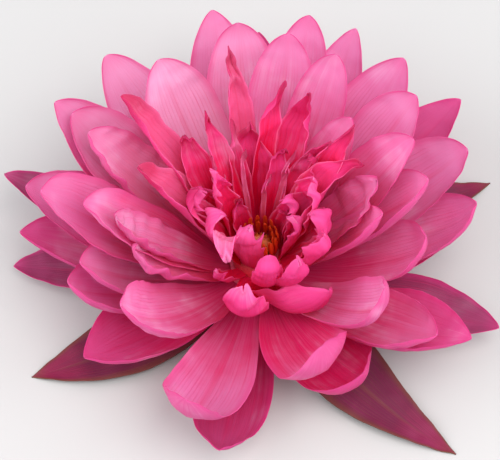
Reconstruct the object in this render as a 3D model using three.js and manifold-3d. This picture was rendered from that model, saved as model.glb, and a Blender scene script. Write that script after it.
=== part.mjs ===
// A double pink water lily flower as picked: petals in layers round a short seat, over four drooped sepals.
// Lengths are millimetres and angles are degrees. +Z is up, the flower's axis is Z, and it rests on z = 0.

import * as THREE from 'three';
import { mergeVertices } from 'three/addons/utils/BufferGeometryUtils.js';
import Module from 'manifold-3d';

const wasm = await Module();
wasm.setup();

// ---- Driving dimensions ----------------------------------------------------------------------------

const BLADE = 0.8; // thickness of a petal or a sepal
const SLIM = 14; // the width under which a blade's halves are flat
const GAP = 0.35; // clearance between neighbouring pieces
const TIP_SHARE = 0.995; // how far along its midrib a blade is built, so that its tip has an edge
const LEAN_SHARE = 0.4; // how far along its midrib a blade has the lean it is stated with
const OPEN_BY = 0.35; // how far along its midrib a blade has its full cup
const CURL_FROM = 0.15; // how far along its midrib an edge starts to curl
const CURL_BY = 0.55; // and where it has its full curl
const CURL_OUTSIDE = 0.5; // how far out across a half of the blade its edge starts to curl
const HOOD_FROM = 0.5; // how far along its midrib a blade's sides start to close on its tip
const EASE = { claw: 1.2, hook: 1.5, yaw: 1.5, curl: 1.3 }; // powers by which these set in from nothing
const SLIVER = 0.1; // how far apart points are that are merged where blades cross
const SUBSTEPS = 8; // steps of the midrib's integral in one row of a blade
const SECTION_STEPS = 24; // steps of the cross-section's integral from the midrib to an edge
const ROUND = 20; // sides of the turned pieces

// The flower's seat: where the blades of each kind grow on it, by how steeply they stand.
// Flat blades grow low and far out, upright ones high and near the axis.
const UPRIGHT = 75;
const PETAL_SEAT = { radius: 13, height: 5.8, inward: 6.5, upward: 10 };
const INNER_SEAT = { radius: 10.5, height: 11.5, inward: 4.4, upward: 6 };
const SEPAL_SEAT = { radius: 11.6, height: 4.2, inward: 0, upward: 0 };
const ROLLED_SEAT = { radius: 7.8, height: 14.5, inward: 0, upward: 0 };

// The collars that the blades' roots are sunk in: [radius, height] up their outer side.
const SEPAL_COLLAR = [ [ 12.6, 2.4 ], [ 12.9, 5.1 ] ];
const PETAL_COLLAR = [ [ 13.7, 5.9 ], [ 9.4, 13.1 ] ];
const INNER_COLLAR = [ [ 8.7, 13.6 ], [ 8.7, 15 ], [ 6.9, 18 ] ];
const STAMEN_COLLAR = [ [ 5.5, 18.4 ], [ 5.3, 20.2 ] ];

// The core inside the collars, from the cut stem up to the disc: [radius, height].
const STEM_RADIUS = 5;
const CORE = [
	[ STEM_RADIUS, 0 ],
	[ STEM_RADIUS + 0.3, 1.2 ],
	[ 9.2, 2.4 ],
	[ 9.4, 5.6 ],
	[ 6.0, 13.3 ],
	[ 3.6, 18.2 ],
	[ 3.3, 20.4 ],
];

// The disc on the core, hollowed like a saucer round a knob, with a ring of small horns round its rim:
// [radius, height above the core].
const DISC = [
	[ 0, GAP ],
	[ 3.2, GAP ],
	[ 3.8, GAP + 0.9 ],
	[ 3.3, GAP + 1.3 ],
	[ 1.1, GAP + 0.8 ],
	[ 0.9, GAP + 1.6 ],
	[ 0, GAP + 1.9 ],
];
const HORN = { count: 14, length: 2.2, radius: 0.55, sides: 4, lean: 14 };
const HORN_ROOT = { radius: 3.05, height: GAP + 0.55 };

// The stamens stand in rings on their collar: number, radius of the root, length and lean.
const STAMEN_RINGS = [
	{ count: 15, radius: 4.9, length: 11.5, lean: 84, turn: 0 },
	{ count: 13, radius: 4.5, length: 10, lean: 88, turn: 11 },
];
const STAMEN = { width: 1.5, thickness: 0.9, sunk: 0.9 };

// ---- Blade shapes ----------------------------------------------------------------------------------

// A blade's default shape by layer. bend curves the midrib upward along its length, cup curves each half
// of the cross-section and hood closes it on the tip, widest is the share of the length where it is widest,
// claw the share of its width at the root, shoulder and taper round and sharpen its tip, and hook_at is the
// share of the length where a hooked tip starts to curl. The blade is built in rows.
const STRAIGHT = { hook: 0, yaw: 0, roll: 0, left: 0, right: 0 };
const PETAL_SHAPE = {
	bend: 30, cup: 34, hood: 25, widest: 0.6, claw: 0.26, shoulder: 2, taper: 0.75, hook_at: 0.72,
};
const SHAPES = {
	sepal: { ...PETAL_SHAPE, rows: 6, bend: - 2, cup: 14, widest: 0.4, claw: 0.42, shoulder: 1.5, taper: 0.95 },
	guard: { ...PETAL_SHAPE, rows: 4, cup: 36, hood: 20 },
	outer: { ...PETAL_SHAPE, rows: 5, bend: 35, cup: 38, hood: 16, taper: 0.56 },
	middle: { ...PETAL_SHAPE, rows: 5, bend: 32, cup: 40, hood: 8, shoulder: 2.5, taper: 0.5 },
	upper: { ...PETAL_SHAPE, rows: 5, bend: 26, cup: 44, hood: 14, claw: 0.28, shoulder: 2.4, taper: 0.52 },
	upright: {
		...PETAL_SHAPE, rows: 4, bend: 5, cup: 70, hood: 10, widest: 0.5, claw: 0.4, shoulder: 3, taper: 0.55,
	},
	curled: { ...PETAL_SHAPE, rows: 5, bend: 25, cup: 85, claw: 0.5, shoulder: 3, taper: 0.5 },
	rolled: { ...PETAL_SHAPE, rows: 6, bend: 25, cup: 60, claw: 0.5, shoulder: 2.6, taper: 0.5 },
	stamen: { ...PETAL_SHAPE, rows: 2, bend: 34, cup: 0, hood: 0, widest: 0.5, claw: 0.85, shoulder: 4 },
};

// Each blade: azimuth of its root, lean above the level, length, width, and what differs from its layer.
// hook curls the tip inward, yaw turns it sideways, roll twists the blade, left and right curl its edges.
const SEPALS = [
	[ 214, - 3.2, 69, 24, { yaw: - 22, widest: 0.5 } ],
	[ 306, - 2.9, 76, 24, { yaw: 24 } ],
	[ 25, - 3, 73, 24 ],
	[ 115, - 2.8, 78, 25 ],
];
const GUARD_PETALS = [
	[ 161, 6, 76, 19 ],
	[ 177, 11, 66, 27, { right: 40 } ],
	[ 216, 9, 57, 28, { right: 40, hook: 20 } ],
	[ 260, 2, 61, 27, { bend: 20, hook: 50, hook_at: 0.6 } ],
	[ 298, 9, 56, 29, { bend: 50, yaw: 24, hook: 70, hook_at: 0.6, left: 20 } ],
	[ 327, 16, 68, 27, { bend: 40, yaw: 8, left: 40 } ],
	[ 37, 15, 74, 24 ],
	[ 90, 12, 70, 22 ],
	[ 343, 2, 66, 22, { bend: 10 } ],
	[ 180, - 2, 66, 20, { bend: 10, yaw: - 4 } ],
	[ 66, 6, 60, 26 ],
	[ 113, 5, 60, 26 ],
	[ 140, 13, 60, 26 ],
	[ 8, 9, 56, 26 ],
];
const OUTER_PETALS = [
	[ 151, 29, 75, 28, { taper: 0.62 } ],
	[ 171, 22, 70, 29 ],
	[ 200, 19, 60, 27, { bend: 50, yaw: - 4, right: 50, hook: 30 } ],
	[ 254, 16, 72, 27, { yaw: - 14, widest: 0.62, hook: 75, hook_at: 0.58, taper: 0.5 } ],
	[ 323, 19, 61, 25, { yaw: 6, left: 50, hook: 20 } ],
	[ 5, 19, 67, 27, { hook: 50, left: 30, taper: 0.66 } ],
	[ 52, 21, 72, 27, { taper: 0.66 } ],
	[ 67, 17, 75, 21, { taper: 0.7 } ],
	[ 77, 28, 73, 24 ],
	[ 101, 20, 76, 26, { taper: 0.66 } ],
	[ 130, 23, 74, 27 ],
];
const MIDDLE_PETALS = [
	[ 152, 32, 69, 27 ],
	[ 181, 36, 73, 27 ],
	[ 199, 28, 57, 24, { bend: 50, yaw: - 8, right: 40 } ],
	[ 227, 35, 64, 25, { bend: 66, yaw: - 20, roll: - 14, right: 60 } ],
	[ 289, 25, 60, 28, { bend: 50, yaw: 20, roll: 10, hook: 80, hook_at: 0.6 } ],
	[ 316, 36, 62, 22, { bend: 66, yaw: 22, roll: 14, left: 60, hook: 40 } ],
	[ 350, 27, 54, 24, { yaw: 8, hook: 60, left: 30 } ],
	[ 20, 25, 67, 27 ],
	[ 37, 35, 66, 25 ],
	[ 64, 41, 64, 20 ],
	[ 81, 37, 66, 23 ],
	[ 96, 32, 69, 26 ],
	[ 123, 38, 65, 27 ],
];
const UPPER_PETALS = [
	[ 158, 40, 64, 23, { right: 60 } ],
	[ 187, 44, 64, 23 ],
	[ 192, 46, 57, 16, { right: 70, hook: 30 } ],
	[ 205, 43, 51, 16, { right: 80, hook: 40 } ],
	[ 20, 45, 61, 23 ],
	[ 6, 40, 60, 22, { left: 60, hook: 20 } ],
	[ 44, 50, 51, 17 ],
	[ 9, 50, 49, 18, { hook: 30 } ],
	[ 352, 48, 48, 16, { left: 80, hook: 20 } ],
];
const UPRIGHT_PETALS = [
	[ 148, 55, 48, 13, { yaw: - 50, hook: 90, hook_at: 0.8, taper: 0.4 } ],
	[ 127, 61, 50, 10, { yaw: - 16, roll: 20 } ],
	[ 100, 57, 40, 18, { cup: 40 } ],
	[ 111, 60, 42, 8, { roll: 20 } ],
	[ 92, 57, 55, 9, { yaw: - 42, roll: 60 } ],
	[ 66, 50, 54, 15, { bend: 10, roll: - 30, hook: 40 } ],
	[ 72, 66, 38, 9, { roll: 40, hook: 60 } ],
	[ 46, 60, 41, 12, { hook: 110 } ],
	[ 55, 59, 44, 8, { yaw: - 40, roll: 40 } ],
	[ 32, 57, 52, 12, { yaw: 20, roll: 20 } ],
	[ 26, 62, 46, 14, { hook: - 110, hook_at: 0.6, taper: 0.4 } ],
	[ 16, 67, 33, 13, { hook: 20, taper: 0.3 } ],
	[ 35, 74, 20, 9, { hook: 80 } ],
	[ 137, 74, 20, 9, { hook: 60 } ],
	[ 147, 49, 66, 15, { roll: 30 } ],
	[ 101, 50, 63, 11, { roll: 20 } ],
	[ 168, 52, 50, 17, { roll: 20 } ],
	[ 176, 62, 40, 11, { hook: 90 } ],
	[ 108, 66, 34, 3 ],
	[ 82, 76, 28, 3 ],
	[ 62, 66, 36, 3 ],
	[ 138, 64, 36, 3 ],
];
const CURLED_PETALS = [
	[ 213, 73, 38, 9, { bend: 0, yaw: 75, hook: - 130, hook_at: 0.6, cup: 40 } ],
	[ 245, 79, 30, 13, { hook: 110 } ],
	[ 330, 56, 37, 16, { bend: 50, hook: 30 } ],
	[ 350, 58, 38, 17, { hook: 150, hook_at: 0.65, cup: 50 } ],
	[ 350, 72, 28, 10, { hook: 130 } ],
	[ 191, 66, 34, 14, { hook: 150, hook_at: 0.65, cup: 50 } ],
	[ 166, 60, 38, 15, { hook: 140 } ],
	[ 151, 72, 38, 11, { hook: 40 } ],
	[ 22, 76, 30, 11, { hook: 130 } ],
	[ 16, 68, 38, 15, { hook: 40, cup: 50 } ],
	[ 228, 45, 22, 7, { bend: 60, hook: 60 } ],
];
const ROLLED_PETALS = [
	[ 260, 44, 44, 17, { bend: 110, hood: 10 } ],
	[ 280, 27, 37, 22, { yaw: 125, bend: 50, roll: - 110 } ],
	[ 278, 62, 38, 12, { bend: 55, hook: 50 } ],
	[ 299, 58, 42, 12, { bend: 60, hook: 40 } ],
	[ 292, 40, 24, 13, { bend: 90, hood: 10 } ],
];

// ---- Solids ----------------------------------------------------------------------------------------

const rad = THREE.MathUtils.degToRad;

/** Turns a closed geometry into a manifold-3d solid. */
function solidOf( geometry ) {

	geometry.deleteAttribute( 'normal' );
	geometry.deleteAttribute( 'uv' );
	const merged = mergeVertices( geometry, 1e-4 );
	return new wasm.Manifold( new wasm.Mesh( {
		numProp: 3,
		vertProperties: new Float32Array( merged.attributes.position.array ),
		triVerts: new Uint32Array( merged.index.array ),
	} ) );

}

/** Turns a solid back into a geometry with flat shaded faces. */
function geometryOf( solid ) {

	const mesh = solid.getMesh();
	const geometry = new THREE.BufferGeometry();
	geometry.setAttribute( 'position', new THREE.BufferAttribute( new Float32Array( mesh.vertProperties ), 3 ) );
	geometry.setIndex( new THREE.BufferAttribute( new Uint32Array( mesh.triVerts ), 1 ) );
	const flat = geometry.toNonIndexed();
	flat.computeVertexNormals();
	return flat;

}

/** Adds solids to one another, two by two, and keeps the one body that they form, without pockets in it. */
function fuse( solids ) {

	let level = solids;
	while ( level.length > 1 ) {

		const next = [];
		for ( let i = 0; i < level.length; i += 2 ) {

			next.push( i + 1 < level.length ? level[ i ].add( level[ i + 1 ] ) : level[ i ] );

		}

		level = next;

	}

	const bodies = level[ 0 ].simplify( SLIVER ).decompose();
	return bodies.sort( ( a, b ) => b.volume() - a.volume() )[ 0 ];

}

/** A solid turned round the axis from [radius, height] points that start and end on it, or close. */
function turned( points, sides = ROUND ) {

	const profile = points.map( ( [ radius, height ] ) => new THREE.Vector2( radius, height ) );
	return solidOf( new THREE.LatheGeometry( profile, sides ).rotateX( Math.PI / 2 ) );

}

/** Radius of the core at a height. */
function coreRadius( height ) {

	const above = CORE.findIndex( ( [ , level ] ) => level >= height );
	const [ lowRadius, low ] = CORE[ above - 1 ];
	const [ highRadius, high ] = CORE[ above ];
	return THREE.MathUtils.mapLinear( height, low, high, lowRadius, highRadius );

}

/** The collar that carries one layer's roots, clear of the core inside it. */
function collar( outline ) {

	const inner = ( [ , height ] ) => [ coreRadius( height ) + GAP, height ];
	const foot = inner( outline[ 0 ] );
	return turned( [ foot, ...outline, inner( outline.at( - 1 ) ), foot ] );

}

// ---- Blades ----------------------------------------------------------------------------------------

/** Share of a blade's full width at the share s of its length. */
function widthShare( s, shape ) {

	if ( s < shape.widest ) {

		const rise = Math.sin( ( Math.PI / 2 ) * ( s / shape.widest ) ) ** EASE.claw;
		return shape.claw + ( 1 - shape.claw ) * rise;

	}

	const fall = ( s - shape.widest ) / ( 1 - shape.widest );
	return ( 1 - fall ** shape.shoulder ) ** shape.taper;

}

/** Where a blade of a given lean grows on its seat: radius and height. */
function rootOn( seat, lean ) {

	const share = THREE.MathUtils.clamp( lean / UPRIGHT, 0, 1 );
	return { radius: seat.radius - seat.inward * share, height: seat.height + seat.upward * share };

}

/** Frames along a blade's midrib, one a row: the point, the way across and the way up from its face. */
function midribFrames( blade ) {

	const steps = blade.rows * SUBSTEPS;
	const leanAt = ( s ) => {

		const hooked = Math.max( 0, ( s - blade.hook_at ) / ( 1 - blade.hook_at ) ) ** EASE.hook;
		return rad( blade.lean + blade.bend * ( s - LEAN_SHARE ) + blade.hook * hooked );

	};
	const headingAt = ( s ) => rad( blade.azimuth + blade.yaw * s ** EASE.yaw );
	const alongAt = ( s ) => {

		const [ lean, heading ] = [ leanAt( s ), headingAt( s ) ];
		const level = Math.cos( lean );
		return new THREE.Vector3( level * Math.cos( heading ), level * Math.sin( heading ), Math.sin( lean ) );

	};

	const root = rootOn( blade.seat, blade.lean );
	const start = rad( blade.azimuth );
	const [ x, y ] = [ root.radius * Math.cos( start ), root.radius * Math.sin( start ) ];
	const point = new THREE.Vector3( x, y, root.height );
	const frames = [];
	for ( let i = 0; i <= steps; i ++ ) {

		const s = i / steps;
		if ( i % SUBSTEPS === 0 ) {

			const heading = headingAt( s );
			const flatAcross = new THREE.Vector3( - Math.sin( heading ), Math.cos( heading ), 0 );
			const along = alongAt( s );
			const across = flatAcross.clone().applyAxisAngle( along, rad( blade.roll * s ) );
			frames.push( { s, point: point.clone(), across, up: along.clone().cross( across ) } );

		}

		const middle = alongAt( s + 0.5 / steps );
		point.addScaledVector( middle, Math.min( blade.length / steps, blade.length * ( TIP_SHARE - s ) ) );

	}

	return frames;

}

/** Offsets of one half of a cross-section from the midrib: how far out and how far up, a column each. */
function sectionOffsets( blade, s, curl, halfWidth, columns ) {

	const opened = Math.min( 1, s / OPEN_BY );
	const curled = THREE.MathUtils.clamp( ( s - CURL_FROM ) / ( CURL_BY - CURL_FROM ), 0, 1 );
	const closed = THREE.MathUtils.clamp( ( s - HOOD_FROM ) / ( 1 - HOOD_FROM ), 0, 1 );
	const bow = blade.cup * opened + blade.hood * closed;
	const offsets = [ [ 0, 0 ] ];
	let [ out, up ] = [ 0, 0 ];
	for ( let k = 0; k < SECTION_STEPS; k ++ ) {

		const u = ( k + 0.5 ) / SECTION_STEPS;
		const edge = THREE.MathUtils.clamp( ( u - CURL_OUTSIDE ) / ( 1 - CURL_OUTSIDE ), 0, 1 ) ** EASE.curl;
		const slope = rad( bow * u + curl * edge * curled );
		out += ( Math.cos( slope ) * halfWidth ) / SECTION_STEPS;
		up += ( Math.sin( slope ) * halfWidth ) / SECTION_STEPS;
		if ( ( k + 1 ) % ( SECTION_STEPS / columns ) === 0 ) offsets.push( [ out, up ] );

	}

	return offsets;

}

/** The middle surface of a blade as rows of points, from its left edge to its right edge. */
function bladeSurface( blade, columns ) {

	return midribFrames( blade ).map( ( { s, point, across, up } ) => {

		const share = Math.min( s, TIP_SHARE );
		const halfWidth = ( blade.width / 2 ) * widthShare( share, blade );
		const half = ( side, curl ) => sectionOffsets( blade, share, curl, halfWidth, columns )
			.map( ( [ out, rise ] ) => point.clone().addScaledVector( across, side * out ).addScaledVector( up, rise ) );
		const left = half( - 1, blade.left ).reverse();
		return [ ...left, ...half( 1, blade.right ).slice( 1 ) ];

	} );

}

/** The way up from a surface of points at one of them. */
function surfaceUp( surface, i, j ) {

	const at = ( row, column ) => surface[ row ][ column ];
	const rows = surface.length - 1;
	const columns = surface[ 0 ].length - 1;
	const along = at( Math.min( i + 1, rows ), j ).clone().sub( at( Math.max( i - 1, 0 ), j ) );
	const across = at( i, Math.min( j + 1, columns ) ).clone().sub( at( i, Math.max( j - 1, 0 ) ) );
	return along.cross( across ).normalize();

}

/** Thickens a surface of points into a closed solid whose two faces are split into triangles alike. */
function thickened( surface, thickness ) {

	const rows = surface.length - 1;
	const columns = surface[ 0 ].length - 1;
	const positions = [];
	for ( const side of [ 0.5, - 0.5 ] ) {

		surface.forEach( ( row, i ) => row.forEach( ( point, j ) => {

			positions.push( ...point.clone().addScaledVector( surfaceUp( surface, i, j ), side * thickness ).toArray() );

		} ) );

	}

	const top = ( i, j ) => i * ( columns + 1 ) + j;
	const under = ( rows + 1 ) * ( columns + 1 );
	const index = [];
	for ( let i = 0; i < rows; i ++ ) {

		for ( let j = 0; j < columns; j ++ ) {

			const [ a, b, c, d ] = [ top( i, j ), top( i + 1, j ), top( i + 1, j + 1 ), top( i, j + 1 ) ];
			index.push( a, b, c, a, c, d );
			index.push( under + a, under + c, under + b, under + a, under + d, under + c );

		}

	}

	const rim = [];
	for ( let i = 0; i < rows; i ++ ) rim.push( top( i, 0 ) );
	for ( let j = 0; j < columns; j ++ ) rim.push( top( rows, j ) );
	for ( let i = rows; i > 0; i -- ) rim.push( top( i, columns ) );
	for ( let j = columns; j > 0; j -- ) rim.push( top( 0, j ) );
	rim.forEach( ( from, k ) => {

		const to = rim[ ( k + 1 ) % rim.length ];
		index.push( from, under + from, under + to, from, under + to, to );

	} );

	const geometry = new THREE.BufferGeometry();
	geometry.setAttribute( 'position', new THREE.BufferAttribute( new Float32Array( positions ), 3 ) );
	geometry.setIndex( index );
	return solidOf( geometry );

}

/** The solids of one layer's blades. */
function layer( blades, shape, seat ) {

	return blades.map( ( [ azimuth, lean, length, width, own = {} ] ) => {

		const blade = { ...STRAIGHT, ...shape, ...own, azimuth, lean, length, width, seat };
		const columns = width < SLIM ? 1 : 2;
		return thickened( bladeSurface( blade, columns ), BLADE );

	} );

}

// ---- The flower's pieces ---------------------------------------------------------------------------

/** The short seat of the flower, from the flat end of the cut stem to the place of the disc. */
function receptacle() {

	return turned( [ [ 0, 0 ], ...CORE, [ 0, CORE.at( - 1 )[ 1 ] ] ] );

}

/** Four sepals on their collar, with their drooped tips flat where they rest. */
function sepals() {

	const fused = fuse( [ collar( SEPAL_COLLAR ), ...layer( SEPALS, SHAPES.sepal, SEPAL_SEAT ) ] );
	const reach = 200;
	const aboveGround = solidOf( new THREE.BoxGeometry( reach, reach, reach ).translate( 0, 0, reach / 2 ) );
	return fused.intersect( aboveGround );

}

/** The pale petals in four layers on their collar. */
function pinkPetals() {

	return fuse( [
		collar( PETAL_COLLAR ),
		...layer( GUARD_PETALS, SHAPES.guard, PETAL_SEAT ),
		...layer( OUTER_PETALS, SHAPES.outer, PETAL_SEAT ),
		...layer( MIDDLE_PETALS, SHAPES.middle, PETAL_SEAT ),
		...layer( UPPER_PETALS, SHAPES.upper, PETAL_SEAT ),
	] );

}

/** The deep rose petals round the middle, upright behind and curled in at the front. */
function rosePetals() {

	return fuse( [
		collar( INNER_COLLAR ),
		...layer( UPRIGHT_PETALS, SHAPES.upright, INNER_SEAT ),
		...layer( CURLED_PETALS, SHAPES.curled, INNER_SEAT ),
		...layer( ROLLED_PETALS, SHAPES.rolled, ROLLED_SEAT ),
	] );

}

/** Rings of flat stamens that bend in over the disc, on their collar. */
function stamens() {

	const solids = [ collar( STAMEN_COLLAR ) ];
	for ( const { count, radius, length, lean, turn } of STAMEN_RINGS ) {

		const seat = { radius, height: STAMEN_COLLAR[ 1 ][ 1 ] - STAMEN.sunk, inward: 0, upward: 0 };
		for ( let k = 0; k < count; k ++ ) {

			const azimuth = turn + ( 360 * k ) / count;
			const blade = { ...STRAIGHT, ...SHAPES.stamen, seat, azimuth, lean, length, width: STAMEN.width };
			const edges = bladeSurface( blade, 1 ).map( ( row ) => [ row[ 0 ], row.at( - 1 ) ] );
			solids.push( thickened( edges, STAMEN.thickness ) );

		}

	}

	return fuse( solids );

}

/** The disc on top of the core with its ring of horns. */
function disc() {

	const [ , coreTop ] = CORE.at( - 1 );
	const solids = [ turned( DISC ) ];
	for ( let k = 0; k < HORN.count; k ++ ) {

		const horn = new THREE.ConeGeometry( HORN.radius, HORN.length, HORN.sides );
		horn.rotateX( Math.PI / 2 ).translate( 0, 0, HORN.length / 2 );
		horn.rotateY( rad( - HORN.lean ) ).translate( HORN_ROOT.radius, 0, HORN_ROOT.height );
		horn.rotateZ( rad( ( 360 * k ) / HORN.count ) );
		solids.push( solidOf( horn ) );

	}

	return fuse( solids ).translate( 0, 0, coreTop );

}

// ---- The scene graph -------------------------------------------------------------------------------

/** A named mesh of one solid in one colour. */
function piece( name, solid, color, roughness ) {

	const material = new THREE.MeshStandardMaterial( { color, roughness, metalness: 0 } );
	const mesh = new THREE.Mesh( geometryOf( solid ), material );
	mesh.name = name;
	return mesh;

}

const flower = new THREE.Group();
flower.name = 'water_lily_flower';
flower.add(
	piece( 'receptacle', receptacle(), 0x7d8a45, 0.7 ),
	piece( 'sepals', sepals(), 0x9c4668, 0.6 ),
	piece( 'pink_petals', pinkPetals(), 0xec7fb0, 0.45 ),
	piece( 'rose_petals', rosePetals(), 0xd01f5c, 0.45 ),
	piece( 'stamens', stamens(), 0xd9541e, 0.6 ),
	piece( 'stigma_disc', disc(), 0xe0b23c, 0.6 ),
);

export default flower;
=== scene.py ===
"""A double pink water lily flower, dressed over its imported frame.

The blades of every layer follow the same midribs and sections as the frame's solids, built finely, with thin
margins, ripples and fine veins. Sizes of the flower are in millimetres and degrees; meshes are in metres.
"""

import logging
from dataclasses import dataclass, field, replace
from enum import Enum
from typing import Any

import bpy
import numpy as np
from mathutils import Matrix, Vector


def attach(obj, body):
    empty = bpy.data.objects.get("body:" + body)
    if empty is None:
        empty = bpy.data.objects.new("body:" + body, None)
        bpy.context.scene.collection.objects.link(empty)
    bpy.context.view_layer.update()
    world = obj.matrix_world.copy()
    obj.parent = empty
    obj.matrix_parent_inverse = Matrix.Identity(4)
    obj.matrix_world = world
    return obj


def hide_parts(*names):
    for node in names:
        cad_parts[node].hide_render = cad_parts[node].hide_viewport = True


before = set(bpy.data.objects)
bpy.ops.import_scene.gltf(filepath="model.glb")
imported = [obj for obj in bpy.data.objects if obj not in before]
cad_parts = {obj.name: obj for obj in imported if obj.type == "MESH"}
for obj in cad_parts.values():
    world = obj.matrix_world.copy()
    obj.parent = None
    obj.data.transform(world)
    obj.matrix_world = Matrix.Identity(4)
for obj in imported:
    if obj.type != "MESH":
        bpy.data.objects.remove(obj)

log = logging.getLogger("water_lily")

MM = 0.001
UPRIGHT = 75.0  # the lean at which a blade grows at the top of its seat
LEAN_SHARE = 0.4  # how far along its midrib a blade has the lean it is stated with
OPEN_BY = 0.35  # how far along its midrib a blade has its full cup
CURL_FROM = 0.15  # how far along its midrib an edge starts to curl
CURL_BY = 0.55  # and where it has its full curl
HOOD_FROM = 0.5  # how far along its midrib a blade's sides start to close on its tip
TIP_SHARE = 0.9995  # how far along its midrib a blade is built
TIP_CROWDING = 1.45  # how much closer its rows lie towards its tip
PINCHED = (0.68, 0.92)  # from where to where along its midrib a withered end narrows
WILTED = (0.76, 1.0)  # from where to where it bends aside
RAGGED = (0.6, 1.0)  # from where to where it is withered back
END_THINNING = 0.45  # how much thinner a blade is at its tip than at its root
BROAD = 20.0  # the width from which a blade has all of its ripples and its groove
GROOVE_WIDTH = 1.6  # how far the groove along a broad blade's midrib reaches to each side

Colour = tuple[float, float, float]
Outline = tuple[tuple[float, float], ...]  # radius and height of the points once round a section


def ramp(values: np.ndarray, low: float, high: float) -> np.ndarray:
    """Values turned into a smooth step from 0 at low to 1 at high.

    Args:
        values: What is stepped.
        low: Where the step starts.
        high: Where it ends.

    Returns:
        The step at each value.
    """
    share = np.clip((values - low) / (high - low), 0.0, 1.0)
    return share * share * (3.0 - 2.0 * share)


# ---- Shader graphs ---------------------------------------------------------------------------------


class Signal:
    """A shader socket that adds a Math node when it is reckoned with."""

    def __init__(self, graph: "Graph", socket: bpy.types.NodeSocket) -> None:
        """Wraps a socket of a graph."""
        self.graph = graph
        self.socket = socket

    def _math(self, operation: str, *values: Any) -> "Signal":
        """One Math node of that operation on the values."""
        return self.graph.add("ShaderNodeMath", {"operation": operation}, dict(enumerate(values)))

    def __add__(self, other: Any) -> "Signal":
        """Sum."""
        return self._math("ADD", self, other)

    __radd__ = __add__

    def __sub__(self, other: Any) -> "Signal":
        """Difference."""
        return self._math("SUBTRACT", self, other)

    def __rsub__(self, other: Any) -> "Signal":
        """Difference the other way round."""
        return self._math("SUBTRACT", other, self)

    def __mul__(self, other: Any) -> "Signal":
        """Product."""
        return self._math("MULTIPLY", self, other)

    def __abs__(self) -> "Signal":
        """Size without its sign."""
        return self._math("ABSOLUTE", self)

    def sine(self) -> "Signal":
        """Sine of an angle in radians."""
        return self._math("SINE", self)

    def step(self, low: float, high: float) -> "Signal":
        """Smooth step from 0 at low to 1 at high; low may be the higher."""
        return self.graph.add(
            "ShaderNodeMapRange",
            {"interpolation_type": "SMOOTHSTEP", "clamp": True},
            {"Value": self, "From Min": low, "From Max": high, "To Min": 0.0, "To Max": 1.0},
        )


class Graph:
    """The node graph of one material."""

    def __init__(self, name: str) -> None:
        """Starts an empty material of that name."""
        self.material = bpy.data.materials.new(name)
        self.material.use_nodes = True
        self.tree = self.material.node_tree
        self.tree.nodes.clear()

    def add(
        self,
        kind: str,
        settings: dict[str, Any],
        sockets: dict[Any, Any],
        output: Any = 0,
    ) -> Signal:
        """Adds a node.

        Args:
            kind: The node's type.
            settings: Its own settings, set before its sockets.
            sockets: Values or signals by the name or number of an input.
            output: Name or number of the output that is wanted.

        Returns:
            The output as a signal.
        """
        node = self.tree.nodes.new(kind)
        for name, value in settings.items():
            setattr(node, name, value)
        for name, value in sockets.items():
            if isinstance(value, Signal):
                self.tree.links.new(value.socket, node.inputs[name])
            elif isinstance(value, tuple) and len(value) == 3 and len(node.inputs[name].default_value) == 4:
                node.inputs[name].default_value = (*value, 1.0)
            else:
                node.inputs[name].default_value = value
        return Signal(self, node.outputs[output])

    def attribute(self, name: str) -> Signal:
        """A number stored on the mesh's points."""
        return self.add("ShaderNodeAttribute", {"attribute_name": name}, {}, "Fac")

    def vector(self, x: Any, y: Any, z: Any) -> Signal:
        """Three numbers as a vector."""
        return self.add("ShaderNodeCombineXYZ", {}, {0: x, 1: y, 2: z})

    def noise(self, at: Signal, scale: float, detail: float = 2.0, roughness: float = 0.5) -> Signal:
        """Smooth noise around 0.5 at a vector."""
        sockets = {"Vector": at, "Scale": scale, "Detail": detail, "Roughness": roughness}
        return self.add("ShaderNodeTexNoise", {}, sockets, "Fac")

    def place(self) -> Signal:
        """The point on the object, in metres."""
        return self.add("ShaderNodeTexCoord", {}, {}, "Object")

    def blend(self, share: Any, low: Any, high: Any) -> Signal:
        """Mixes two colours: low at share 0 and high at share 1."""
        settings = {"data_type": "RGBA", "clamp_factor": True}
        return self.add("ShaderNodeMix", settings, {0: share, 6: low, 7: high}, 2)

    def bump(self, height: Signal, strength: float, distance: float) -> Signal:
        """A normal that follows a height; distance is in metres."""
        sockets = {"Height": height, "Strength": strength, "Distance": distance}
        return self.add("ShaderNodeBump", {}, sockets)

    def finish(self, shader: Signal) -> bpy.types.Material:
        """Gives the material its surface."""
        output = self.tree.nodes.new("ShaderNodeOutputMaterial")
        self.tree.links.new(shader.socket, output.inputs["Surface"])
        return self.material

    def finish_solid(self, sockets: dict[str, Any]) -> bpy.types.Material:
        """Gives the material one opaque shader with these sockets."""
        return self.finish(self.add("ShaderNodeBsdfPrincipled", {}, sockets))

    def finish_living(self, sockets: dict[str, Any], translucency: float) -> bpy.types.Material:
        """Gives the material the surface of tissue that light comes through.

        Args:
            sockets: The skin's sockets, with its colour and its normal.
            translucency: The share of the light that comes through.

        Returns:
            The material.
        """
        skin = self.add("ShaderNodeBsdfPrincipled", {}, sockets)
        behind = {"Color": sockets["Base Color"], "Normal": sockets["Normal"]}
        through = self.add("ShaderNodeBsdfTranslucent", {}, behind)
        return self.finish(self.add("ShaderNodeMixShader", {}, {0: translucency, 1: skin, 2: through}))


# ---- Finishes --------------------------------------------------------------------------------------


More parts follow.
